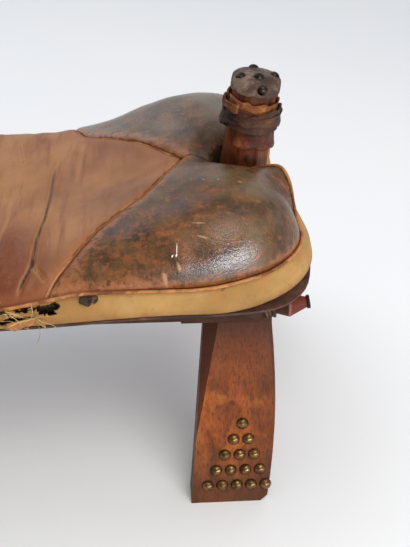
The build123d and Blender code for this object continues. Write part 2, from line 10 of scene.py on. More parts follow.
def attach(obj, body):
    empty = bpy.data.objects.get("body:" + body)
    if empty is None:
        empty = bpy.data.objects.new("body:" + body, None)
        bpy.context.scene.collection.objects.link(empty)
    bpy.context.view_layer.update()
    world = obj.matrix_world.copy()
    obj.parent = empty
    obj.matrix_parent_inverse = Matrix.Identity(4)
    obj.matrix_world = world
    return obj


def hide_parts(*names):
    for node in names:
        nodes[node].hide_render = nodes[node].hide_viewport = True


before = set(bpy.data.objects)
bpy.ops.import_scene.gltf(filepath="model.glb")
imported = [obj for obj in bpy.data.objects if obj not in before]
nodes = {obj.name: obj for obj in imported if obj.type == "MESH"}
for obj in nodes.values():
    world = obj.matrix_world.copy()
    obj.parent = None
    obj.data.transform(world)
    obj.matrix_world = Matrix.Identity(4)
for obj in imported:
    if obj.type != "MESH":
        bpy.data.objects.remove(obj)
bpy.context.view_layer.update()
random.seed(11)

# Sizes in metres, shared by the cushion's pieces
HALF_LENGTH = 0.335
HALF_DEPTH = 0.180
CORNER = 0.112
NOTCH_START = 0.2400
NOTCH_HALF = 0.0330
NOTCH_ROUND = 0.027
MOUTH_ROUND = 0.0345
LEATHER = 0.0022
BAND_LEATHER = 0.0016
SCRAP_LEATHER = 0.0012
STRAP_LEATHER = 0.0018
# How far the back lobes have shrunk in from the ends, and the front ones lean in at the notch
SHRUNK = 0.024
LEANT = 0.0115


# Materials
def linear(code):
    """A colour written as sRGB hex, as the linear values a shader takes."""
    values = [int(code[place : place + 2], 16) / 255 for place in (1, 3, 5)]
    return [v / 12.92 if v <= 0.04045 else ((v + 0.055) / 1.055) ** 2.4 for v in values] + [1.0]


def join(node, inputs):
    """Gives a node its values and links, by name or number, or in order where they are a row."""
    for name, value in inputs.items() if isinstance(inputs, dict) else enumerate(inputs):
        if isinstance(value, bpy.types.NodeSocket):
            node.id_data.links.new(value, node.inputs[name])
        else:
            node.inputs[name].default_value = value


def add(tree, kind, inputs=(), out=0, **settings):
    """Adds a shader node with its settings and links, and gives one of its outputs."""
    made = tree.nodes.new("ShaderNode" + kind)
    for name, value in settings.items():
        setattr(made, name, value)
    join(made, inputs)
    return made.outputs[out]


def place_on(tree, scale=(1, 1, 1), turn=(0, 0, 0)):
    """The piece's own coordinates, turned and stretched."""
    where = add(tree, "TexCoord", out="Object")
    return add(tree, "Mapping", {"Vector": where, "Scale": scale, "Rotation": turn})


def cells(where, size, detail, rough, twist=0.0):
    """How a soft random pattern is set; size is its cells per metre."""
    inputs = {"Vector": where, "Scale": size, "Detail": detail}
    return {**inputs, "Roughness": rough, "Distortion": twist}


def new_material(name, *sizes, maps=()):
    """A material, its tree and coordinates, soft patterns of some sizes, and maps of the mesh."""
    made = bpy.data.materials.new(name)
    made.use_nodes = True
    tree = made.node_tree
    where = place_on(tree)
    values = [add(tree, "TexNoise", cells(where, *size)) for size in sizes]
    values += [add(tree, "Attribute", out="Fac", attribute_name=key) for key in maps]
    return made, tree, where, *values


def coated(made, colour, rough, height, depth, specular=0.5, metal=0.0, under=None):
    """Gives the shader its colour and gloss, and bumps of a real depth in metres."""
    bump = {"Height": height, "Distance": depth}
    if under:
        bump["Normal"] = under
    bump = add(made.node_tree, "Bump", bump)
    inputs = {"Base Color": colour, "Roughness": rough, "Metallic": metal, "Normal": bump}
    join(made.node_tree.nodes["Principled BSDF"], {**inputs, "Specular IOR Level": specular})
    return made


def layered(tree, base, *layers):
    """Colours laid over a base in turn; each shows as far as its value passes through its range."""
    colour = linear(base)
    for value, code, *span in layers:
        share = add(tree, "MapRange", (value, *span))
        colour = add(tree, "Mix", {0: share, 6: colour, 7: linear(code)}, 2, data_type="RGBA")
    return colour


def waxed_wood(name, dark, middle, light, along=2, part=None):
    """Old waxed wood: long fibres, broad streaks of colour, small dark pores and dents."""
    made, tree, where, blotch = new_material(name, (22, 3, 0.6))
    slow, fine = [55, 55, 55], [420, 420, 420]
    slow[along], fine[along] = 7, 22
    streak = add(tree, "TexNoise", cells(place_on(tree, slow), 1.0, 4, 0.6, 0.6))
    fibre = add(tree, "TexNoise", cells(place_on(tree, fine), 1.0, 6, 0.65))
    side = add(tree, "Math", (add(tree, "SeparateXYZ", (where,), "X"),), operation="ABSOLUTE")
    layers = [
        (streak, middle, 0.24, 0.58),
        (blotch, light, 0.48, 0.72),
        (fibre, dark, 0.36, 0.5, 0.62, 0.0),
    ]
    if part == "leg":
        # Faces turned sideways, chamfers among them, and the leg's outer side are painted darker as
        # shade, and the top as painted shadow under the rail and cushion; the wood also darkens
        # towards the foot
        facing = add(tree, "TexCoord", out="Normal")
        sideways_shade = add(tree, "Math", (add(tree, "SeparateXYZ", (facing,), "X"),), operation="ABSOLUTE")
        high = add(tree, "SeparateXYZ", (where,), "Z")
        outer, top, foot = (
            add(tree, "Math", (streak, uneven, value), operation="MULTIPLY_ADD")
            for uneven, value in ((0.02, side), (0.03, high), (0.05, high))
        )
        layers += [
            # Painted shade on faces turned sideways
            (sideways_shade, "#3E2014", 0.10, 0.45, 0, 0.7),
            # Painted shade on the leg's outer side
            (outer, dark, 0.276, 0.308, 0, 0.5),
            # Painted shadow under the rail and cushion
            (top, dark, 0.14, 0.225, 0, 0.9),
            (foot, "#3E2719", 0.105, 0.050, 0, 0.75),
        ]
    if part == "rail":
        # The carved ends are rubbed red, pale on the widest ring and black at the tip
        patchy = add(tree, "MapRange", (streak, 0.2, 0.7, 0.6, 1))
        past_ring = add(tree, "MapRange", (side, 0.3150, 0.3140, 0, 0.6))
        layers += [
            (side, "#702E1B", 0.311, 0.313, 0, patchy),
            (side, "#8E6A58", 0.3115, 0.3125, 0, past_ring),
            (side, "#241612", 0.3312, 0.3322),
        ]
    height = add(tree, "Math", (streak, 1.5, fibre), operation="MULTIPLY_ADD")
    rough = add(tree, "MapRange", (fibre, 0.3, 0.7, 0.52, 0.38))
    return coated(made, layered(tree, dark, *layers), rough, height, 0.0005, 0.16)


def worn_metal(name, deep, bright, rough):
    """Old metal: a dark tarnish in patches over a worn bright colour."""
    made, tree, _, patch, grit = new_material(name, (150, 4, 0.6), (1300, 3, 0.6))
    colour = layered(tree, deep, (patch, bright, 0.36, 0.6))
    rough = add(tree, "MapRange", (patch, 0.36, 0.6, rough + 0.2, rough))
    return coated(made, colour, rough, grit, 0.00003, metal=0.9)


def plain_leather(name, deep, middle, worn, rough, grain, wear=0.62):
    """Vegetable-tanned leather: mottled colour, rubbed light patches and a pebbled grain."""
    sizes = (30, 5, 0.6), (130, 5, 0.7), (900, 3, 0.6)
    made, tree, _, broad, fleck, pebble = new_material(name, *sizes)
    rubbed = add(tree, "Math", (broad, fleck), operation="ADD")
    height = add(tree, "Math", (fleck, 2.0, pebble), operation="MULTIPLY_ADD")
    layers = (broad, middle, 0.36, 0.62), (rubbed, worn, 2 * wear - 0.24, 2 * wear, 0, 0.8)
    return coated(made, layered(tree, deep, *layers), rough, height, grain, 0.3)


# Scratches and chips on the front right panel: place in the plan, half widths and turn
scuffs = [
    (0.2155, -0.152, 0.0066, 0.0005, -0.15), (0.2190, -0.162, 0.0048, 0.0006, -0.25),
    (0.2230, -0.097, 0.0013, 0.0016, 0.0), (0.2380, -0.099, 0.0011, 0.0019, 0.0),
    (0.2600, -0.104, 0.0026, 0.0014, -0.5), (0.1950, -0.1755, 0.0026, 0.0013, -0.6),
    (0.1810, -0.1780, 0.0030, 0.0014, -0.5),
]
chips = [
    (0.1932, -0.1668, 0.0004, 0.0036, -0.08), (0.1928, -0.1703, 0.0010, 0.0007, 0.2),
    (0.1888, -0.1702, 0.0010, 0.0006, 0.5),
]
leg_polish = 0.250, -0.180, 0.062, 0.022, 0.0
# Values that the cover's mesh holds for its wear, and for the shade painted into its folds and along
# its seams
wear_and_shade_maps = "rubbed", "worn_zone", "crease_shade"


def mark(tree, where, grit, x, y, wide, high, turn):
    """1 inside a small ellipse of the plan, with a soft ragged edge."""
    shape = {"Location": (x, y, 0), "Rotation": (0, 0, turn), "Scale": (wide, high, 10)}
    inside = add(tree, "Mapping", {"Vector": where, **shape}, vector_type="TEXTURE")
    far = add(tree, "VectorMath", (inside,), "Value", operation="LENGTH")
    ragged = add(tree, "Math", (grit, 1.8, far), operation="MULTIPLY_ADD")
    return add(tree, "MapRange", (ragged, 2.1, 1.5))


def end_panel_leather():
    """The rubbed end panels: near-black polish, a grey painted sheen, orange scuffs and fine cracks.
    """
    sizes = (13, 4, 0.55, 0.4), (34, 6, 0.68, 0.3), (150, 6, 0.75), (800, 3, 0.6)
    made, tree, where, broad, patch, fleck, pebble, soot, grit, side, zone, crease_shade = new_material(
        "rubbed dark saddle leather", *sizes, (48, 5, 0.7), (900, 3, 0.7), maps=wear_and_shade_maps
    )
    streaks = add(tree, "TexNoise", cells(place_on(tree, (46, 150, 60), (0, 0, 0.7)), 1.0, 6, 0.7))
    cracks = {"Vector": where, "Scale": 210.0}
    cracks = add(tree, "TexVoronoi", cracks, "Distance", feature="DISTANCE_TO_EDGE")
    painted_sheen = add(tree, "Math", (zone, -0.30, broad), operation="MULTIPLY_ADD")
    worn = 0.0
    for value, share in ((streaks, 0.55), (fleck, 0.45), (side, 0.15), (zone, 0.055)):
        worn = add(tree, "Math", (value, share, worn), operation="MULTIPLY_ADD")
    worn = add(tree, "MapRange", (worn, 0.54, 0.68))
    marks = [(mark(tree, where, grit, *scuff), "#B98A60", 0, 1, 0, 0.75) for scuff in scuffs]
    marks += [(mark(tree, where, grit, *chip), "#EDE6DC") for chip in chips]
    layers = [
        (patch, "#664424", 0.34, 0.62),
        # Grey painted sheen over the tops, weaker in the worn zone
        (painted_sheen, "#6A5F49", 0.42, 0.62, 0, 0.75),
        (worn, "#98552A", 0, 1, 0, 0.8),
        (side, "#A06C46", 0, 1, 0, add(tree, "MapRange", (fleck, 0.40, 0.62, 0.08, 0.8))),
        (fleck, "#A98664", 0.66, 0.74, 0, 0.45),
        (zone, "#3C2618", 0, 1, 0, add(tree, "MapRange", (soot, 0.52, 0.66, 0, 0.8))),
        *marks,
        # Painted shade in the folds and along the seams
        (crease_shade, "#231712", 0, 1, 0, 0.85),
    ]
    # The front roll is polished by legs and takes the window's gleam
    polish = mark(tree, where, grit, *leg_polish)
    rough = add(tree, "Math", (worn, 0.3, patch), operation="MULTIPLY_ADD")
    rough = add(tree, "MapRange", (rough, 0.35, 0.95, 0.20, 0.42))
    smooth = add(tree, "MapRange", (polish, 0, 1, 1, 0.62))
    far_side = add(tree, "MapRange", (add(tree, "SeparateXYZ", (where,), "Y"), 0.02, 0.10))
    gleam = add(tree, "Math", (polish, far_side), operation="ADD")
    grain = add(tree, "Math", (fleck, 2.5, pebble), operation="MULTIPLY_ADD")
    cracks = add(tree, "MapRange", (cracks, 0.0, 0.12))
    cracked = add(tree, "Bump", {"Height": cracks, "Distance": 0.00008})
    rough = add(tree, "Math", (rough, smooth), operation="MULTIPLY")
    gleam = add(tree, "MapRange", (gleam, 0, 1, 0.34, 1.0))
    colour = layered(tree, "#312112", *layers)
    return coated(made, colour, rough, grain, 0.00014, gleam, under=cracked)


def middle_panel_leather():
    """The tan middle panel: warm satin hide with long soft streaks that follow its folds."""
    sizes = (11, 3, 0.5), (170, 5, 0.7), (1000, 3, 0.6)
    made, tree, _, broad, fleck, pebble, side, zone, crease_shade = new_material(
        "tan saddle leather", *sizes, maps=wear_and_shade_maps
    )
    streaks = add(tree, "TexNoise", cells(place_on(tree, (75, 11, 20), (0, 0, 0.12)), 1.0, 5, 0.62))
    # A crease is painted dark in its fold as shade, and rubbed pale on both lips
    layers = [
        (broad, "#A26E40", 0.38, 0.62),
        (streaks, "#74402A", 0.5, 0.66, 0, 0.6),
        (zone, "#6A3216", 0, 1, 0, add(tree, "MapRange", (fleck, 0.3, 0.6, 0.75, 1.0))),
        (fleck, "#6E4230", 0.6, 0.75, 0, 0.5),
        (crease_shade, "#B27E4E", 0.02, 0.25, 0, 0.4),
        (crease_shade, "#341B12", 0.30, 0.80, 0, 0.9),
        (side, "#9C5C34", 0, 1, 0, 0.45),
    ]
    height = add(tree, "Math", (fleck, 1.8, pebble), operation="MULTIPLY_ADD")
    rough = add(tree, "MapRange", (streaks, 0.3, 0.7, 0.36, 0.5))
    return coated(made, layered(tree, "#825230", *layers), rough, height, 0.0003, 0.32)


def band_suede():
    """The side band: yellow suede, dusty and stained, darker towards both edges with a painted
    shadow under the welt, and painted shade deep in the notches.
    """
    sizes = (16, 4, 0.55), (60, 6, 0.7), (1400, 2, 0.5), (38, 4, 0.6)
    made, tree, _, broad, patch, nap, amber, up, inner = new_material(
        "yellow suede", *sizes, maps=("height", "inner")
    )
    layers = [
        (broad, "#B0884E", 0.4, 0.62),
        (patch, "#8A5E32", 0.54, 0.7, 0, 0.55),
        (amber, "#A8703A", 0.5, 0.68, 0, 0.6),
        # Darker towards the top edge, stained and with a painted shadow under the welt, and darker
        # towards the bottom edge
        (up, "#7A4F2A", 0.78, 1.0, 0, add(tree, "MapRange", (patch, 0.3, 0.6, 0.30, 0.72))),
        (up, "#7A4F2A", 0.3, 0.0, 0, add(tree, "MapRange", (patch, 0.3, 0.6, 0.225, 0.54))),
        (up, "#46301E", 0.55, 0.9, 0, add(tree, "MapRange", (patch, 0.6, 0.66))),
        # Painted shade on the band deep in the notches beside the posts
        (inner, "#3A281C"),
    ]
    height = add(tree, "Math", (patch, 2.5, nap), operation="MULTIPLY_ADD")
    return coated(made, layered(tree, "#99733B", *layers), 0.85, height, 0.0004)


def straw():
    """Dry straw stuffing: short pale stalks crossing over hollows painted dark as shade."""
    made, tree, _ = new_material("dry straw")
    lines = (
        add(tree, "TexNoise", cells(place_on(tree, *way), 1.0, 4, 0.6, 0.5))
        for way in (((60, 60, 900), (0.4, 0.2, 0)), ((700, 80, 700), (0, 0.5, 0.3)))
    )
    stalks = add(tree, "Math", tuple(lines), operation="MAXIMUM")
    # The dark base is painted shade in the hollows between the stalks
    colour = layered(tree, "#2A1A10", (stalks, "#B08A50", 0.5, 0.72))
    return coated(made, colour, 0.9, stalks, 0.002)


def plain_floor():
    """A pale painted studio floor with the faintest unevenness."""
    made, tree, _, haze = new_material("pale studio floor", (1.2, 3, 0.5))
    colour = layered(tree, "#F1F2F4", (haze, "#F5F5F5", 0.3, 0.7))
    join(tree.nodes["Principled BSDF"], {"Base Color": colour, "Roughness": 0.75})
    return made


leg_wood = waxed_wood("waxed red wood", "#44200E", "#934917", "#B06224", part="leg")
post_wood = waxed_wood("dark handled wood", "#2E140A", "#5C2D16", "#784022")
rail_wood = waxed_wood("dark rail wood", "#241209", "#3E2214", "#583822", along=0, part="rail")
peg_wood = waxed_wood("bare peg wood", "#6A4628", "#94693F", "#A98054", along=1)
brass = worn_metal("aged brass", "#443222", "#806038", 0.22)
dark_brass = worn_metal("tarnished brass", "#120E0C", "#3A3028", 0.28)
iron = worn_metal("dull nail iron", "#221C18", "#6E6258", 0.40)
rawhide = plain_leather("dark rawhide", "#1E130D", "#4A3020", "#8A6038", 0.5, 0.0005)
cap_leather = plain_leather("dusty cap leather", "#34231A", "#604B3B", "#8A7464", 0.6, 0.0005, 0.6)
strap_leather = plain_leather(
    "dark strap leather", "#24130A", "#543018", "#805230", 0.55, 0.0006, 0.68
)
inner_strap = plain_leather("raw inner strap leather", "#5A2E14", "#8C5228", "#B07A48", 0.6, 0.0005)
red_strap = plain_leather("red brown strap leather", "#381608", "#683016", "#8C4E26", 0.55, 0.0005)
raw_edge = plain_leather("raw leather edge", "#6A3A1C", "#9A6034", "#B88450", 0.75, 0.0004, 0.56)
skirt_leather = plain_leather(
    "dark skirt leather", "#2A1810", "#523024", "#7A5440", 0.42, 0.0003, 0.68
)
welt_leather = plain_leather(
    "orange welt leather", "#6A3218", "#A2602F", "#C08850", 0.6, 0.0003, 0.58
)
end_leather = end_panel_leather()
middle_leather = middle_panel_leather()
suede = band_suede()
stuffing_straw = straw()
floor_paint = plain_floor()
linen_thread = plain_leather("waxed linen thread", "#8A6A40", "#C8A468", "#E0C890", 0.8, 0.0001)


# Meshes
def ripple(*place):
    """Smooth random unevenness, between about -1 and 1."""
    return noise.noise(Vector(place))


def unit(vectors):
    return vectors / np.linalg.norm(vectors, axis=1)[:, None]


def in_scene(name, data):
    made = bpy.data.objects.new(name, data)
    bpy.context.scene.collection.objects.link(made)
    return made


def select_only(made):
    bpy.ops.object.select_all(action="DESELECT")
    made.select_set(True)
    bpy.context.view_layer.objects.active = made


def settled(points, lean_top):
    """Points of the cushion after long use; lean_top is where the lean is full."""
    moved = []
    for x, y, z in points:
        out = abs(x)
        shrunk = ease(y, 0.0, 0.06) * ease(out, 0.255, 0.335)
        lean = ease(z, 0.262, lean_top) * ease(-y, 0.125, 0.045) * ease(out, 0.275, 0.330) * (y < 0)
        pull = SHRUNK * float(shrunk) + LEANT * float(lean)
        moved.append((x - math.copysign(pull, x), y, z))
    return moved


def mesh_piece(name, points, faces, body, slot, material, node=None, **values):
    """A new piece with its place in its mesh, riding on a body; it may stand for a node."""
    mesh = bpy.data.meshes.new(name)
    if body == "cushion":
        points = settled(points, 0.325 if name == "suede_side_band" else 0.298)
    points = [tuple(map(float, point)) for point in points]
    mesh.from_pydata(points, [], [list(face) for face in faces])
    mesh.polygons.foreach_set("use_smooth", [True] * len(mesh.polygons))
    for key, numbers in values.items():
        layer = mesh.attributes.new(key, "FLOAT", "POINT")
        layer.data.foreach_set("value", np.asarray(numbers, np.float32))
    mesh.materials.append(material)
    mesh.update()
    made = in_scene(name, mesh)
    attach(made, body)
    if node:
        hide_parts(node)
    return made


def thicken(made, thickness):
    """Gives a sheet its real thickness, inwards from its outer face."""
    modifier = made.modifiers.new("thickness", "SOLIDIFY")
    modifier.thickness = thickness
    modifier.offset = -1
    select_only(made)
    bpy.ops.object.modifier_apply(modifier=modifier.name)


def mirrored(points, faces, side_x, side_y=1):
    """A mesh of the front right, or its mirror image on another side."""
    placed = [(x * side_x, y * side_y, z) for x, y, z in points]
    return placed, faces if side_x * side_y > 0 else [tuple(reversed(face)) for face in faces]


def ellipse(wide, high, count=8):
    turns = [2 * math.pi * step / count for step in range(count)]
    return [(wide / 2 * math.cos(turn), high / 2 * math.sin(turn)) for turn in turns]


def skin(rows, count):
    """The faces between rows of points, each row a ring of so many."""
    faces = []
    for low in range(0, (rows - 1) * count, count):
        for step in range(count):
            after = (step + 1) % count
            faces.append((low + step, low + after, low + count + after, low + count + step))
    return faces


def swept(points, ups, profile, swell=1.0):
    """A profile carried along a line of points; its first axis lies across, its second along up."""
    points = np.asarray(points, float)
    ways = unit(np.gradient(points, axis=0))
    across = unit(np.cross(ways, np.asarray(ups, float)))
    up = np.cross(across, ways)
    grow = np.ones(len(points)) * swell
    wide, high = (np.outer(grow, axis)[..., None] for axis in np.transpose(profile))
    made = (points[:, None] + across[:, None] * wide + up[:, None] * high).reshape(-1, 3)
    count = len(profile)
    ends = [tuple(reversed(range(count))), tuple(range(len(made) - count, len(made)))]
    return made, skin(len(points), count) + ends


def gathered(parts):
    """Several meshes as one list of points and faces."""
    points, faces = [], []
    for more_points, more_faces in parts:
        start = len(points)
        points += list(more_points)
        faces += [tuple(start + corner for corner in face) for face in more_faces]
    return points, faces


# The cushion's form
def ease(value, start, end):
    share = np.clip((value - start) / (end - start), 0, 1)
    return share * share * (3 - 2 * share)


def half_depth(x, inset=0.0):
    """Half depth of the rounded outline, drawn in by an inset."""
    corner = CORNER - inset
    past = np.clip(np.abs(x) - (HALF_LENGTH - CORNER), 0, corner)
    return HALF_DEPTH - CORNER + np.sqrt(corner**2 - past**2)


def welt_height(x):
    """The stitched edge along the front and back drops towards the middle of the saddle."""
    out = np.abs(x)
    return 0.2935 - 0.0190 * (1 - ease(out, 0, 0.115)) - 0.006 * (1 - ease(out, 0.20, 0.27))


def edge_height(x, y):
    """The stitched edge all round: it climbs beside the notches to meet the stuffed lobes."""
    climb = 0.043 * ease(-np.abs(y), -0.080, -0.036) * ease(np.abs(x), 0.285, 0.325)
    return welt_height(x) + climb


def base_height(x, y):
    """The underside lies flat over the rails and arches up over the end frames."""
    share = np.clip(np.abs(y) / half_depth(x), 0, 1)
    middle = 0.2531 + 0.0421 * ease(np.abs(x), 0.050, 0.202)
    middle -= 0.0321 * ease(np.abs(x), 0.313, HALF_LENGTH)
    edge = 0.2623 - 0.010 * (1 - ease(np.abs(x), 0, 0.202))
    return middle - (middle - edge) * share**2


def stuffed_height(x, y):
    """Two stuffed lobes side by side that roll down to the stitched edge."""
    side = half_depth(x)
    edge = welt_height(x)
    crest = 0.366 - 0.057 * (1 - ease(np.abs(x), 0.035, 0.240))
    dip = 0.002 + 0.024 * ease(np.abs(x), 0.02, 0.18)
    lobe = 0.60 * side
    soft = 0.030 - 0.022 * ease(np.abs(x), 0.05, 0.20)
    across = np.sqrt(y**2 + soft**2)
    valley = crest - dip * np.clip(1 - across / lobe, 0, 1) ** 2
    run = side - lobe
    rise = crest - edge
    bend = (run**2 + rise**2) / (2 * rise)
    past = np.clip(np.abs(y) - lobe, 0, run)
    shallow = bend - np.sqrt(bend**2 - past**2)
    steep = rise * (1 - np.sqrt(np.clip(1 - (past / run) ** 2, 0, 1)))
    lobes = valley - np.where(run >= rise, shallow, steep)
    shoulder = 0.238
    end = np.clip((np.abs(x) - shoulder) / (HALF_LENGTH - shoulder), 0, 1)
    low = np.minimum(edge_height(x, y), lobes)
    return low + (lobes - low) * np.maximum(1 - end**2.3, 0) ** 0.62


def arc(centre, radius, start, end, steps=16):
    turns = np.radians(np.linspace(start, end, steps))
    return np.array(centre) + radius * np.stack([np.cos(turns), np.sin(turns)], 1)


def even(points, pitch):
    """A line of points at an even pitch."""
    points = np.asarray(points, float)
    along = np.r_[0, np.cumsum(np.linalg.norm(np.diff(points, axis=0), axis=1))]
    places = np.linspace(0, along[-1], int(along[-1] / pitch) + 1)
    return np.stack([np.interp(places, along, axis) for axis in points.T], 1)


def curve(points, steps=12):
    """A smooth line through given points."""
    points = np.asarray(points, float)
    ends = np.vstack([2 * points[0] - points[1], points, 2 * points[-1] - points[-2]])
    line = []
    for place in range(len(points) - 1):
        a, b, c, d = ends[place : place + 4]
        square = 2 * a - 5 * b + 4 * c - d
        cube = 3 * b - a - 3 * c + d
        for t in np.arange(steps) / steps:
            line.append(0.5 * (2 * b + (c - a) * t + square * t**2 + cube * t**3))
    return np.array([*line, points[-1]])


def nearest(points, line):
    """Distance of each point to a line, with how far along it that is and on which side."""
    start = line[:-1]
    run = line[1:] - line[:-1]
    square = np.maximum((run**2).sum(1), 1e-12)
    found = []
    for low in range(0, len(points), 4000):
        gap = points[low : low + 4000, None] - start
        share = np.clip((gap * run).sum(2) / square, 0, 1)
        off = gap - share[..., None] * run
        far = (off**2).sum(2)
        pick = np.arange(len(gap)), far.argmin(1)
        way_x, way_y = run[pick[1]].T
        turn = way_x * off[pick][:, 1] - way_y * off[pick][:, 0]
        found.append([np.sqrt(far[pick]), (pick[1] + share[pick]) / len(start), np.sign(turn)])
    return np.hstack(found)


notch_half_line = np.vstack([
    arc((HALF_LENGTH - MOUTH_ROUND, -NOTCH_HALF - MOUTH_ROUND), MOUTH_ROUND, 0, 90),
    arc((NOTCH_START + NOTCH_ROUND, -NOTCH_HALF + NOTCH_ROUND), NOTCH_ROUND, 270, 180),
])
notch_line = np.vstack([notch_half_line, (notch_half_line * (1, -1))[::-1]])
outer_corner = arc((HALF_LENGTH - CORNER, -HALF_DEPTH + CORNER), CORNER, -90, 0, 30)
right_outline = [
    [(0, -HALF_DEPTH)], outer_corner, notch_line, (outer_corner * (1, -1))[::-1], [(0, HALF_DEPTH)]
]
right_path = even(np.vstack(right_outline), 0.0018)
outline = np.vstack([right_path, (right_path[::-1] * (-1, 1))[1:-1]])

# Seams of the top in millimetres, from the point of the middle panel to the front and back edges
front_seam = [
    (203, -1), (196, -24), (185, -53), (172, -78), (158, -94), (133, -111), (116, -123), (99, -140),
    (83, -156), (71, -168), (64, -180),
]
back_seam = [
    (203, 1), (186, 18), (167, 35), (147, 52), (127, 69), (106, 85), (88, 101), (77, 124), (69, 152),
    (64, 180),
]
front_seam, back_seam = (curve(np.array(line) / 1000) for line in (front_seam, back_seam))


def notch_half_width(x):
    """Half width of the notch at a distance from the middle; negative where there is none."""
    x = np.abs(x)
    short = np.clip(NOTCH_START + NOTCH_ROUND - x, 0, NOTCH_ROUND)
    inner = NOTCH_HALF - NOTCH_ROUND + np.sqrt(NOTCH_ROUND**2 - short**2)
    past = np.clip(x - (HALF_LENGTH - MOUTH_ROUND), 0, MOUTH_ROUND)
    flare = MOUTH_ROUND - np.sqrt(MOUTH_ROUND**2 - past**2)
    return np.where(x < NOTCH_START, -1.0, inner + flare)


# Each end's back panel comes after its front one
CUT, MIDDLE, FRONT_RIGHT, FRONT_LEFT = 0, 1, 2, 4


def panel_at(x, y):
    """Which panel covers a point of the plan."""
    depth = np.abs(y)
    front = np.interp(depth, np.abs(front_seam[:, 1]), front_seam[:, 0])
    back = np.interp(depth, np.abs(back_seam[:, 1]), back_seam[:, 0])
    seam = np.where(y < 0, front, back)
    ends = np.where(x > 0, FRONT_RIGHT, FRONT_LEFT) + (y >= 0)
    panel = np.where(np.abs(x) < seam, MIDDLE, ends)
    return np.where(depth < notch_half_width(x), CUT, panel)


def whole_at(x, y, room):
    """1 for the cushion and 0 for its notches, which are wider by some room."""
    return np.where(np.abs(y) < notch_half_width(np.abs(x) + room) + room, 0, 1)


def cut_grid(xs, shares, inset, label_at):
    """A grid over the plan whose points are moved onto the lines between the labels."""
    rows, columns = len(xs), len(shares)
    x = np.repeat(xs, columns)
    y = np.outer(half_depth(xs, inset), shares).ravel()
    index = np.arange(rows * columns).reshape(rows, columns)
    a = np.r_[index[:-1].ravel(), index[:, :-1].ravel()]
    b = np.r_[index[1:].ravel(), index[:, 1:].ravel()]
    label = label_at(x, y)
    parted = label[a] != label[b]
    a, b = a[parted], b[parted]
    low, high = np.zeros(len(a)), np.ones(len(a))
    for _ in range(21):
        share = (low + high) / 2
        cross = x[a] + (x[b] - x[a]) * share, y[a] + (y[b] - y[a]) * share
        same = label_at(*cross) == label[a]
        low, high = np.where(same, share, low), np.where(same, high, share)
    target = np.where(share < 0.5, a, b)
    on_line = np.zeros(len(x), bool)
    on_line[target] = True
    # The nearest crossing moves a point last
    for place in np.argsort(-np.minimum(share, 1 - share)):
        x[target[place]], y[target[place]] = cross[0][place], cross[1][place]
    faces, names = [], []

    def name_of(corners):
        free = [corner for corner in corners if not on_line[corner]]
        return label[free[0]] if free else label_at(x[corners].mean(), y[corners].mean())

    for row in range(rows - 1):
        for column in range(columns - 1):
            corner = index[row, column]
            quad = [corner, corner + columns, corner + columns + 1, corner + 1]
            marked = on_line[quad]
            pieces = [quad]
            if marked[0] and marked[2]:
                pieces = [quad[:3], [quad[0], *quad[2:]]]
            elif marked[1] and marked[3]:
                pieces = [quad[1:], [quad[1], quad[3], quad[0]]]
            faces += pieces
            names += [name_of(piece) for piece in pieces]
    return x, y, faces, names


def grid_lines(inset, along, corner, across):
    """Places along and shares across, closer together where the form rolls over."""
    straight = np.linspace(0, HALF_LENGTH - CORNER, along)
    turns = np.sin(np.linspace(0, math.pi / 2, corner))[1:]
    half = np.r_[straight, HALF_LENGTH - CORNER + (CORNER - inset) * turns]
    xs = np.r_[-half[::-1], half[1:]]
    angles = np.linspace(-1, 1, across)
    shares = 0.35 * angles + 0.65 * np.sin(angles * math.pi / 2)
    return xs, shares


# Folds pressed into the cover by long use: lines in millimetres, depth and width
folds = [
    (
        [(58, 60), (55, 30), (55, -37), (53, -85), (49, -125), (46, -150), (39, -163), (31, -178)],
        3.0, 3.2,
    ),
    ([(48, -140), (50, -152), (56, -160), (63, -168)], 1.8, 3.0),
    ([(-18, 138), (-11, 116), (-5, 96)], 1.4, 3.5),
    ([(3, 108), (10, 76), (17, 42)], 1.6, 3.5),
    ([(88, 92), (84, 40), (81, -10)], 0.7, 6.0),
    ([(8, -20), (14, -80), (8, -130), (14, -172)], 1.0, 5.0),
    ([(-26, 60), (-18, 0), (-24, -70), (-18, -150)], 1.6, 4.5),
    ([(-64, 100), (-54, 40), (-58, -30), (-50, -100)], 2.0, 4.5),
    ([(-100, -60), (-92, 0), (-104, 60)], 0.9, 6.0),
]


def fold_relief(plan):
    """Depth of the folds, with a soft roll along both sides of each, and the shade painted into
    them.
    """
    height, dark = np.zeros((2, len(plan)))
    for line, depth, width in folds:
        far, along, side = nearest(plan, curve(np.array(line) / 1000))
        fade = ease(along, 0, 0.2) * (1 - ease(along, 0.86, 1.0))
        far = far * 1000 / width
        valley = np.exp(-((far / 0.55) ** 2))
        roll = np.exp(-(((far - 1.7) / 1.0) ** 2)) * (0.5 + 0.25 * side)
        height += depth / 1000 * fade * (roll - valley)
        dark += fade * valley * min(depth / 3, 1)
    return height, np.clip(dark, 0, 1)


def lumps(plan, size, seed):
    return np.array([ripple(x / size, y / size, seed) for x, y in plan])


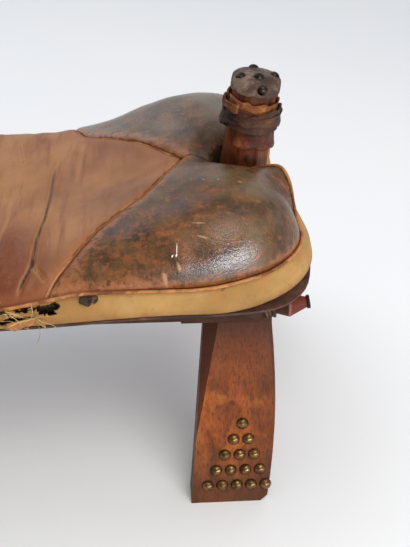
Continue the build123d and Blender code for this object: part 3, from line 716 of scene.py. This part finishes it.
def cover_relief(plan, above):
    """Everything that lifts or sinks the cover off its stuffed form, a map of shade painted into
    folds and along seams, and a wear map.
    """
    height, dark = fold_relief(plan)
    saddle = 1 - ease(np.abs(plan[:, 0]), 0.10, 0.20)
    height += 0.0022 * lumps(plan, 0.075, 3.0) + 0.0009 * lumps(plan, 0.028, 7.0)
    height += 0.0006 * saddle * lumps(plan * (1, 0.25), 0.012, 5.0)
    rubbed = np.zeros(len(plan))
    short_seam = np.array([(0.202, 0), (0.238, 0)])
    for line, deep in ((front_seam, 1), (back_seam, 1), (short_seam, 0)):
        for flip in (1, -1):
            far, along, _ = nearest(plan, line * (flip, 1))
            height -= 0.0022 * deep * np.exp(-((far / 0.0028) ** 2))
            height += 0.0010 * deep * np.exp(-(((far - 0.010) / 0.007) ** 2))
            pucker = np.sin(along * 170 + 2 * np.sin(along * 40)) * np.exp(-((far / 0.008) ** 2))
            height += 0.0003 * deep * pucker
            # A thin line of painted shade along each seam
            dark += 0.55 * np.exp(-((far / 0.0018) ** 2))
            rubbed += deep * np.exp(-((far / 0.010) ** 2))
    out_x, out_y = np.abs(plan).T
    rim = np.minimum(half_depth(out_x) - out_y, HALF_LENGTH - out_x)
    fade = ease(above, 0.0005, 0.010) * ease(rim, 0.0005, 0.012)
    rubbed += 0.9 * (1 - ease(above, 0.002, 0.016))
    return height * fade, np.clip(dark, 0, 1), np.clip(rubbed, 0, 1)


def worn_zones(x, y):
    """The end panels are rubbed orange low in front, the middle one is darker at its low left."""
    out = np.abs(x)
    ends = ease(-y, 0.095, 0.155) * (1 - 0.7 * ease(out, 0.20, 0.26)) + 0.5 * ease(out, 0.29, 0.33)
    middle = ease(-y, 0.05, 0.13) * (1 - ease(x, 0.022, 0.085))
    return np.where(panel_at(x, y) == MIDDLE, middle, ends)


def roll_down(plan):
    """The cover turns down at the notches."""
    far = np.minimum(nearest(plan, notch_line)[0], nearest(plan, notch_line * (-1, 1))[0])
    fade = 1 - ease(np.abs(plan[:, 0]), 0.262, 0.300)
    return 0.015 * np.clip(1 - far / 0.030, 0, 1) ** 2 * fade


# Top cover: one smooth form cut into five panels along the seams
xs, shares = grid_lines(0.0, 92, 34, 190)
x, y, faces, panel = cut_grid(xs, shares, 0.0, panel_at)
plan = np.stack([x, y], 1)
above = stuffed_height(x, y) - welt_height(x)
z = stuffed_height(x, y) - roll_down(plan) * ease(above, 0.0, 0.02)
form = np.stack([x, y, z], 1).reshape(len(xs), len(shares), 3)
normals = np.cross(np.gradient(form, axis=0), np.gradient(form, axis=1)).reshape(-1, 3)
height, dark, rubbed = cover_relief(plan, above)
worn = worn_zones(x, y)
cover = form.reshape(-1, 3) + unit(normals) * height[:, None]
cover_tree = BVHTree.FromPolygons(
    [tuple(point) for point in cover], [face for face, name in zip(faces, panel) if name != CUT]
)


def on_cover(x, y, lift):
    """The point of the cover above a point of the plan, and the cover's normal there."""
    place, normal, _, _ = cover_tree.ray_cast(Vector((x, y, 0.6)), Vector((0, 0, -1)))
    if place is None:
        place, normal, _, _ = cover_tree.find_nearest(Vector((x, y, float(welt_height(x)))))
    return np.array(place + normal * lift), np.array(normal)


panel_names = ("middle", "front_right", "back_right", "front_left", "back_left")
for wanted, place in enumerate(panel_names, MIDDLE):
    node = f"top_{place}_panel"
    finish = ("end_leather", end_leather)
    if wanted == MIDDLE:
        finish = ("middle_leather", middle_leather)
    own_faces = [face for face, name in zip(faces, panel) if name == wanted]
    used = sorted({corner for face in own_faces for corner in face})
    renumber = {corner: number for number, corner in enumerate(used)}
    own_faces = [[renumber[corner] for corner in face] for face in own_faces]
    maps = {"crease_shade": dark[used], "rubbed": rubbed[used], "worn_zone": worn[used]}
    made = mesh_piece("cover_" + node, cover[used], own_faces, "cushion", *finish, node, **maps)
    thicken(made, LEATHER)


def closed_body(inset, lines, room, top_at, low_at):
    """A body over the notched plan between two heights."""
    xs, shares = grid_lines(inset, *lines)
    x, y, faces, label = cut_grid(xs, shares, inset, lambda x, y: whole_at(x, y, room))
    faces = [face for face, name in zip(faces, label) if name == 1]
    count = len(x)
    points = [*np.stack([x, y, top_at(x, y)], 1), *np.stack([x, y, low_at(x, y)], 1)]
    edges = [edge for face in faces for edge in zip(face, face[1:] + face[:1])]
    seen = set(edges)
    walls = [(b, a, a + count, b + count) for a, b in edges if (b, a) not in seen]
    under = [[corner + count for corner in reversed(face)] for face in faces]
    return points, faces + under + walls


body = closed_body(
    0.006,
    (40, 14, 60),
    0.010,
    lambda x, y: stuffed_height(x, y) - roll_down(np.stack([x, y], 1)) - 0.008,
    lambda x, y: base_height(x, y) + 0.003,
)
made = mesh_piece("straw_stuffing", *body, "cushion", "stuffing", stuffing_straw, "cushion_pad")

points, body = closed_body(
    -0.0106,
    (60, 20, 90),
    0.0,
    lambda x, y: base_height(x, y) - 0.0003,
    lambda x, y: base_height(x, y) - 0.0028,
)
# The skirt has worn out of shape and stands furthest out at the corners
for place, (x, y, z) in enumerate(points):
    pull = 0.012 * float(ease(abs(x), 0.235, 0.315) * ease(abs(y), 0.085, 0.140))
    points[place] = (x + math.copysign(0.35 * pull, x), y + math.copysign(pull, y), z - 0.15 * pull)
finish = "underside_leather", skirt_leather, "underside_panel"
mesh_piece("leather_underside", points, body, "cushion", *finish)

# Side band, from the underside up to the welt and on into the notches
ways = unit(np.roll(outline, -1, 0) - np.roll(outline, 1, 0))
outward = np.stack([ways[:, 1], -ways[:, 0]], 1)
out_x, out_y = np.abs(outline).T
inside_notch = ease(HALF_LENGTH - out_x, 0.0, 0.02) * (out_y < 0.07)
top_edge = stuffed_height(outline[:, 0] * 1.004, outline[:, 1] * 1.004)
top_edge -= roll_down(outline) * ease(top_edge - welt_height(outline[:, 0]), 0.0, 0.02)
top_edge -= 0.0015 * inside_notch
flare = (0.0096 + 0.0035 * ease(out_x, 0.28, HALF_LENGTH)) * (1 - inside_notch)
foot = outline + outward * flare[:, None]
low_edge = base_height(foot[:, 0], foot[:, 1]) + 0.0004
levels = 22
points, band_height = [], []
count = len(outline)
for level in range(levels + 1):
    share = level / levels
    for place in range(count):
        x, y = outline[place]
        high = share
        swell = 0.0022 + 0.0014 * ripple(x * 30, y * 30, share * 2 + 4)
        swell *= math.sin(math.pi * share) * (1 - 0.75 * inside_notch[place])
        swell += flare[place] * (1 - share) ** 1.15
        out = outward[place] * swell
        if y < -0.17 and abs(x) < 0.11:
            # Near the tear the weave has slipped, which leaves ragged edges
            x += 0.0009 * ripple(x * 700, share * 60, 3.0)
            high += 0.022 * ripple(x * 700, share * 60, 8.0) * math.sin(math.pi * share)
        up = low_edge[place] + (top_edge[place] - low_edge[place]) * high
        points.append((x + out[0], y + out[1], up))
        band_height.append(high)


def torn(x, y, share):
    """True where the band has torn open along its front seam and lost its stuffing."""
    if y > -0.17:
        return False
    ragged = 0.16 * ripple(x * 90, share * 5, 1.0)
    ragged += 0.12 * ripple(x * 300, share * 17, 5.0)
    hole = ((x - 0.064) / 0.0105) ** 2 + ((share - 0.64) / 0.25) ** 2 < 1 + 5 * ragged
    slit = -0.09 < x < 0.058 and abs(share - 0.78) < 0.07 + ragged
    open_patch = ((x - 0.020) / 0.026) ** 2 + ((share - 0.36) / 0.20) ** 2 < 1 + 4 * ragged
    return hole or slit or open_patch


kept = []
for face in skin(levels + 1, count):
    x, y, _ = np.mean([points[corner] for corner in face], axis=0)
    if not torn(x, y, np.mean([band_height[corner] for corner in face])):
        kept.append(face)
# Where the band is painted dark as shade, deep in the notches beside the posts
inner = np.tile(ease(0.287 - out_x, 0.0, 0.006) * (out_y < 0.06), levels + 1)
maps = {"height": band_height, "inner": inner}
finish = "band_leather", suede, "side_band"
made = mesh_piece("suede_side_band", points, kept, "cushion", *finish, **maps)
thicken(made, BAND_LEATHER)

# Piped welt round the front half and the back half, ending inside the notches
parts = []
for half in (outline[:, 1] < 0, outline[:, 1] > 0):
    shown = half & ~((out_x < 0.279) & (out_y < 0.06))
    start = next(place for place in range(count) if shown[place] and not shown[place - 1])
    run = [(start + step) % count for step in range(int(shown.sum()))]
    line = np.c_[outline[run] + outward[run] * 0.0023, top_edge[run] + 0.0006]
    swell = [1 + 0.12 * ripple(x * 60, y * 60, 2.0) for x, y, _ in line]
    parts.append(swept(line, [(0, 0, 1)] * len(line), ellipse(0.0036, 0.0034), swell))
mesh_piece("piped_welt", *gathered(parts), "cushion", "welt_leather", welt_leather, "edge_welt")

# Raised raw edges of the lapped seams
parts = []
for line in (front_seam, back_seam):
    fine = even(line, 0.0025)
    way = unit(np.gradient(fine, axis=0))
    side = np.stack([way[:, 1], -way[:, 0]], 1) * (1 if line[-1][1] < 0 else -1)
    shifted = fine - side * np.sign(side[:, :1]) * LEATHER
    for flip in (1, -1):
        placed, ups = zip(*(on_cover(flip * x, y, 0.0003) for x, y in shifted))
        wobble = [1 + 0.25 * ripple(x * 150, y * 150, 9.0) for x, y in fine]
        parts.append(swept(placed, ups, ellipse(0.0019, 0.0013), wobble))
mesh_piece("raw_seam_edges", *gathered(parts), "cushion", "welt_leather", raw_edge)

# Straw stalks and loose threads at the tear
parts = []
draw = random.uniform
for _ in range(64):
    start = Vector((draw(-0.078, 0.066), -0.189 - draw(0, 0.003), draw(0.258, 0.270)))
    way = Vector((draw(-1, 1), draw(-0.25, 0.05), draw(-0.4, 0.4))).normalized()
    length = draw(0.010, 0.030)
    bend = Vector((draw(-0.8, 0.8), draw(-0.3, 0), draw(-1.2, 0.6)))
    line = [start + (way * step + bend * step**2 * 0.09) * length / 8 for step in range(9)]
    line = [(max(min(x, 0.072), -0.09), min(y, -0.1865), max(z, 0.2560)) for x, y, z in line]
    thick = draw(0.6, 1.3)
    parts.append(swept(line, [(0, -1, 0.2)] * 9, ellipse(0.0008 * thick, 0.0007 * thick, 5)))
mesh_piece("loose_straw", *gathered(parts), "cushion", "stuffing", linen_thread)


def scrap(start, end, drop, shift, seed):
    """A torn scrap of leather that hangs from under the welt, with ragged lower edges."""
    points, faces = [], []
    for column in range(15):
        x = start + (end - start) * column / 14
        high = float(welt_height(np.array(x))) - shift
        side = 1 - abs(2 * column / 14 - 1) ** 3
        long = drop * (0.35 + 0.65 * side) * (1 + 0.45 * ripple(x * 260, seed, 0.5))
        for level in range(6):
            share = level / 5
            low = high - long * share
            hang = 0.1822 + 0.00864 * ((0.2935 - low) / 0.031) ** 1.15
            curl = 0.0024 * share**2 * (1 + ripple(x * 120, share, seed))
            points.append((x, -hang - curl, low))
    for column in range(14):
        for level in range(5):
            a = column * 6 + level
            faces.append((a, a + 1, a + 7, a + 6))
    return points, faces


scraps = gathered([
    scrap(-0.070, -0.030, 0.0085, 0.009, 3.0),
    scrap(-0.022, 0.012, 0.0080, 0.008, 7.0),
    scrap(0.022, 0.052, 0.0075, 0.0105, 11.0),
])
made = mesh_piece("torn_band_scraps", *scraps, "cushion", "welt_leather", raw_edge)
thicken(made, SCRAP_LEATHER)
scraps = scrap(0.096, 0.114, 0.0078, 0.002, 15.0)
made = mesh_piece("torn_welt_scrap", *scraps, "cushion", "welt_leather", rawhide)
thicken(made, SCRAP_LEATHER)


# Posts: cap, strap and tacks are shaped in the post's own place, then set on both ends
post_frame = Matrix.Translation((0.270, 0, 0.288)) @ Matrix.Rotation(math.radians(6), 4, "Y")


def post_radius(high):
    return 0.028 - 0.0035 * (high - 0.042) / 0.104


def both_ends(name, shape, slot, material, node=None):
    """The piece on the right post and its mirror image on the left one."""
    points, faces = shape
    points = [tuple(post_frame @ Vector(point)) for point in points]
    for side, sign in (("right", 1), ("left", -1)):
        finish = "frame", slot, material, node and f"{node}_{side}"
        mesh_piece(f"{name}_{side}", *mirrored(points, faces, sign), *finish)


def wound_strap(start_turn, turns, start_high, climb, wide, lift, seed, ragged=0.0015):
    """A flat strap wound round the post with worn edges, as an outer and an inner skin."""
    fineness = 72
    steps = int(turns * fineness)
    points = []
    for step in range(steps + 1):
        turn = start_turn + 2 * math.pi * turns * step / steps
        high = start_high + climb * step / fineness
        outer, inner = [], []
        for level in range(9):
            share = level / 8 - 0.5
            rag = ragged * ripple(turn * 3, share * 3, seed)
            up = high + wide * share + rag * abs(share) * 4
            curl = 0.0012 * (2 * abs(share)) ** 3 * (1 + ripple(turn * 2, share, seed + 3))
            out = post_radius(up) + lift + curl + 0.0007 * ripple(turn * 4, up * 60, seed + 8)
            out += 0.0012 * step / fineness
            for row, far in ((outer, out), (inner, out - STRAP_LEATHER)):
                row.append((far * math.cos(turn), far * math.sin(turn), up))
        points += inner + outer[::-1]
    faces = skin(steps + 1, 18)
    last = steps * 18
    for level in range(8):
        faces.append((17 - level, 16 - level, level + 1, level))
        faces.append((last + 16 - level, last + 17 - level, last + level, last + level + 1))
    return points, faces


straps = gathered([
    wound_strap(-2.4, 1.15, 0.1005, 0.0010, 0.014, 0.0036, 1.0),
    wound_strap(0.4, 1.25, 0.1060, 0.0030, 0.011, 0.0056, 4.0, 0.0022),
    wound_strap(-1.0, 1.1, 0.1125, 0.0015, 0.012, 0.0046, 9.0, 0.0024),
    wound_strap(2.60, 0.18, 0.1065, 0.0, 0.018, 0.0066, 12.0, 0.0035),
])
both_ends("wound_strap", straps, "strap_leather", strap_leather, "post_strap")
straps = gathered([
    wound_strap(-3.0, 0.98, 0.1180, 0.0004, 0.018, 0.0016, 21.0, 0.0022),
    wound_strap(2.70, 0.22, 0.1190, -0.0010, 0.009, 0.0062, 23.0, 0.0030),
])
both_ends("raw_strap_end", straps, "strap_leather", inner_strap)
flap = wound_strap(-2.25, 0.44, 0.0880, 0.0010, 0.026, 0.0022, 31.0, 0.0030)
both_ends("hanging_strap_flap", flap, "strap_leather", red_strap)

# Cap: a dome of leather with a folded edge, as rings of a height and a radius
points = []
rings = [
    (0.1352, 0.0271), (0.1382, 0.0273), (0.1432, 0.0271), (0.1467, 0.0267), (0.1490, 0.0249),
    (0.1506, 0.0206), (0.1518, 0.0151), (0.1527, 0.0081), (0.1530, 0.0025),
]
turns = 72
for ring, (high, radius) in enumerate(rings):
    for step in range(turns):
        turn = 2 * math.pi * step / turns
        way_x, way_y = math.cos(turn), math.sin(turn)
        rag = 0.0022 * ripple(way_x * 3, way_y * 3, 2.0) if ring < 2 else 0
        pleat = 0.0006 * ripple(way_x * 6, way_y * 6, (high - 0.0012) * 40)
        out = max(radius + pleat, 0.0003)
        points.append((out * way_x, out * way_y, high + rag))
top = tuple(range(len(points) - turns, len(points)))
cap = points, [*skin(len(rings), turns), top]
both_ends("leather_cap", cap, "cap_leather", cap_leather, "post_cap")


def modelled_tack(wide, rise):
    """A domed tack head: a ball cut across just above its middle and flattened."""
    cut = 0.12
    bpy.ops.object.select_all(action="DESELECT")
    bpy.ops.mesh.primitive_uv_sphere_add(segments=24, ring_count=14, radius=1.0)
    made = bpy.context.object
    bpy.ops.object.mode_set(mode="EDIT")
    bpy.ops.mesh.select_all(action="SELECT")
    bpy.ops.mesh.bisect(plane_co=(0, 0, cut), plane_no=(0, 0, 1), clear_inner=True, use_fill=True)
    bpy.ops.mesh.select_all(action="SELECT")
    bpy.ops.transform.translate(value=(0, 0, -cut))
    bpy.ops.object.mode_set(mode="OBJECT")
    made.scale = (wide / 2, wide / 2, rise / (1 - cut))
    bpy.ops.object.transform_apply(location=False, rotation=False, scale=True)
    points = [tuple(vertex.co) for vertex in made.data.vertices]
    faces = [tuple(polygon.vertices) for polygon in made.data.polygons]
    bpy.data.objects.remove(made)
    return points, faces


def tack_at(shape, place, seed):
    """The tack at a place, a little askew."""
    points, faces = shape
    tilt = Matrix.Rotation(0.06 * ripple(seed, 1.3, 0), 4, "X")
    tilt = tilt @ Matrix.Rotation(0.06 * ripple(seed, 7.7, 0), 4, "Y")
    return [tuple(place @ tilt @ Vector(point)) for point in points], faces


# The leg's outer face leans 19 degrees off upright, with its origin at the foot
leg_face = Matrix.Translation((0.260, -0.2176, 0)) @ Matrix.Rotation(math.radians(71), 4, "X")
leg_tack = modelled_tack(0.0144, 0.0052)
parts = []
first_row, row_pitch, tack_pitch = 0.0226, 0.0199, 0.0169
for row in range(5):
    amount = 5 - row
    along = first_row + row * row_pitch
    centre = 0.08 * row * row_pitch - 0.0013
    for step in range(amount):
        across = centre + (step - (amount - 1) / 2) * tack_pitch
        place = leg_face @ Matrix.Translation((across, along, 0))
        parts.append(tack_at(leg_tack, place, row * 7.1 + step))
leg_tacks = gathered(parts)
for side_x, sign_x in (("right", 1), ("left", -1)):
    for side_y, sign_y in (("front", 1), ("back", -1)):
        node = f"tacks_{side_y}_{side_x}"
        placed = mirrored(*leg_tacks, sign_x, sign_y)
        mesh_piece("brass_" + node, *placed, "frame", "brass_tack", brass, node)

cap_tack = modelled_tack(0.0116, 0.0038)
# Radius and top of the cap's dome; four tacks sit unevenly on it and one on its front side
dome, crown = 0.0625, 0.1535
places = []
for around, out in ((-88, 0.0095), (95, 0.0200), (8, 0.0190), (200, 0.0195)):
    places.append((around, math.asin(out / dome), crown - dome - 0.0018, dome + 0.0014))
places.append((-82, math.radians(84), crown - 0.0125, 0.0267))
parts = []
for number, (around, tip, centre, reach) in enumerate(places):
    turn = Matrix.Rotation(math.radians(around), 4, "Z") @ Matrix.Rotation(tip, 4, "Y")
    place = Matrix.Translation((0, 0, centre)) @ turn @ Matrix.Translation((0, 0, reach))
    parts.append(tack_at(cap_tack, place, 3.3 * number))
both_ends("domed_cap_tacks", gathered(parts), "dark_tack", dark_brass, "cap_tacks")

# Rawhide lashing round each rail neck
neck_tilt = Matrix.Rotation(math.radians(-9.5), 4, "Y")
neck_frame = Matrix.Translation((0.283, -0.1455, 0.2319)) @ neck_tilt
line, ups = [], []
steps = 170
for step in range(steps + 1):
    turn = 2 * math.pi * 3.1 * step / steps
    wander = 0.0004 * ripple(turn, 0, 3)
    out = Vector((0, math.cos(turn), math.sin(turn)))
    along = Vector((0.0035 + 0.0040 * turn / (2 * math.pi) + wander, 0, 0))
    line.append(neck_frame @ (along + out * (0.0099 + wander)))
    ups.append(neck_frame.to_3x3() @ out)
one = swept(line, ups, ellipse(0.0040, 0.0030))
lashings = gathered([mirrored(*one, side_x, side_y) for side_x in (1, -1) for side_y in (1, -1)])
mesh_piece("rawhide_lashings", *lashings, "frame", "rawhide", rawhide, "rail_lashings")

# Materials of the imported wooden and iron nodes, softened along their edges
packed = {"front_rail": rail_wood, "back_rail": rail_wood, "rail_dowels": peg_wood}
for side in ("right", "left"):
    packed |= {"leg_front_" + side: leg_wood, "leg_back_" + side: leg_wood}
    packed |= {"post_" + side: post_wood, "post_key_" + side: peg_wood, "strap_nail_" + side: iron}
for name, material in packed.items():
    node = nodes[name]
    node.data.materials.clear()
    node.data.materials.append(material)
    select_only(node)
    bpy.ops.object.shade_smooth_by_angle(angle=math.radians(50 if name.startswith("post_") else 24))
    if name.startswith(("leg", "front", "back")):
        soften = node.modifiers.new("worn edges", "BEVEL")
        soften.width = 0.0012
        soften.segments = 2
        soften.limit_method = "ANGLE"
        soften.angle_limit = math.radians(40)

# Studio: pale floor, even light from above and a soft key from the front right
bpy.ops.object.select_all(action="DESELECT")
bpy.ops.mesh.primitive_plane_add(size=14)
floor = bpy.context.object
floor.name = "studio_floor"
floor.data.materials.append(floor_paint)

world = bpy.data.worlds.new("studio air")
bpy.context.scene.world = world
world.use_nodes = True
air = world.node_tree
# The backdrop behind and above is bright and the room behind the camera is dim
ahead = add(air, "SeparateXYZ", (add(air, "TexCoord", out="Generated"),), "Y")
glow = add(air, "MapRange", (ahead, -0.8, 0.6, 0.34, 0.92))
join(air.nodes["Background"], {"Color": linear("#EEF1F5"), "Strength": glow})


def soft_light(name, place, target, size, power, tint, high=None):
    """A soft box turned to a point, square or of another height."""
    lamp = bpy.data.lights.new(name, "AREA")
    lamp.shape = "RECTANGLE"
    lamp.size = size
    lamp.size_y = high or size
    lamp.energy = power
    lamp.color = linear(tint)[:3]
    made = in_scene(name, lamp)
    made.location = place
    made.rotation_euler = (Vector(target) - Vector(place)).to_track_quat("-Z", "Y").to_euler()


soft_light("key box", (0.85, -1.30, 2.2), (0.1, 0, 0.2), 1.7, 31, "#FFFAF2")
soft_light("window box", (1.30, -2.2, 0.34), (0.24, -0.17, 0.31), 2.1, 36, "#F4F6FF", 0.40)
soft_light("fill box", (-1.0, 0.9, 2.3), (0, 0, 0.2), 1.8, 17, "#F4F8FF")

camera = in_scene("camera", bpy.data.cameras.new("camera"))
camera.data.lens = 52.0
camera.location = (0.1784, -0.8040, 0.7680)
aim = Matrix.Rotation(-0.0671, 3, "Z") @ Matrix.Rotation(math.pi / 2 - 0.6352, 3, "X")
camera.rotation_euler = (aim @ Matrix.Rotation(0.0135, 3, "Z")).to_euler()
bpy.context.scene.camera = camera
bpy.context.scene.view_settings.view_transform = "Standard"
